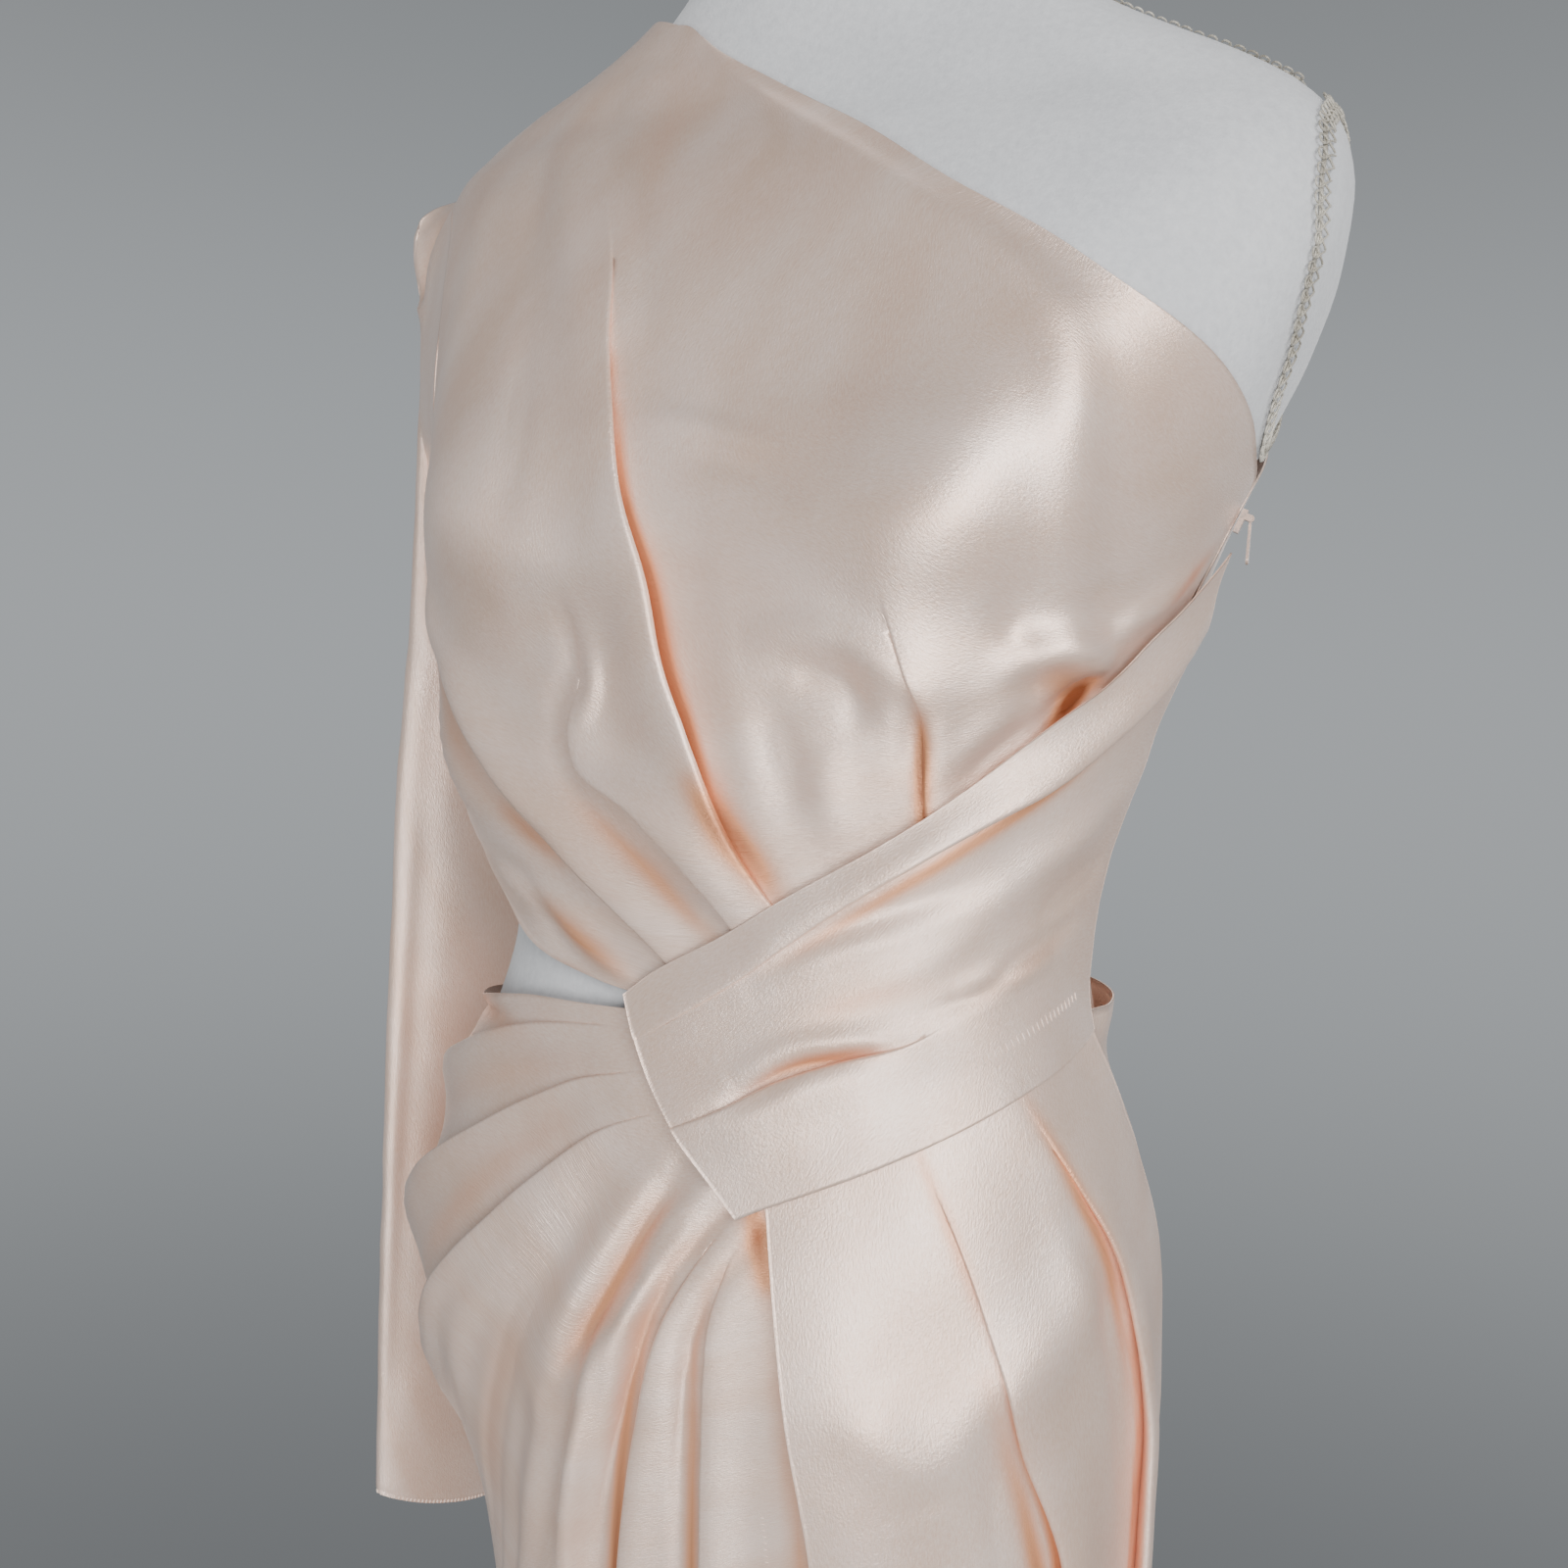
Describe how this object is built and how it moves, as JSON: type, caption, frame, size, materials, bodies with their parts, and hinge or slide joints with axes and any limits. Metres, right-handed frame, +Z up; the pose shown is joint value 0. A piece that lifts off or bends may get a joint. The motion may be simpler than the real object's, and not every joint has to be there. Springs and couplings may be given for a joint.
{
  "type": "one-shoulder dress on a limbless dress form with a round stand",
  "caption": "Draped satin one-shoulder dress with one long sleeve, pleated sash, waist cut-out and wrapped midi skirt, on a limbless dress form and stand.",
  "frame": {"origin": "middle of the base's flat underside, on the floor under the pole", "axes": "+Z up along the pole; the dress's front faces -Y; the wearer's right arm, with the sleeve, is at -X and the bare shoulder at +X"},
  "size_m": [0.4098, 0.32, 1.539],
  "materials": {
    "satin": "duchess satin, pale blush, soft broad sheen",
    "form_jersey": "white cotton jersey stretched over foam, matt",
    "gimp_braid": "silver beige scroll gimp braid, matt",
    "base_enamel": "white powder coat, satin",
    "zip_metal": "zinc painted to match the cloth, semi-gloss"
  },
  "bodies": {
    "dress_and_form": {"stand_base": "base_enamel", "stand_hub": "base_enamel", "stand_pole": "base_enamel", "form_flange": "base_enamel", "neck_cap": "base_enamel", "form_body": "form_jersey", "braid_shoulder": "gimp_braid", "braid_armhole": "gimp_braid", "bodice_front": "satin", "bodice_back": "satin", "sash": "satin", "skirt_drape": "satin", "skirt_wrap": "satin", "skirt_back": "satin", "sleeve": "satin", "zip_slider": "zip_metal"},
    "pull_tab": {"zip_pull": "zip_metal"}
  },
  "joints": [
    {"name": "pull_tab_swing", "type": "hinge", "parent": "dress_and_form", "child": "pull_tab", "pos_m": [0.16637, 0.02041, 1.24], "axis": [0.1245, -0.9922, 0], "range_deg": [0, 110]}
  ]
}
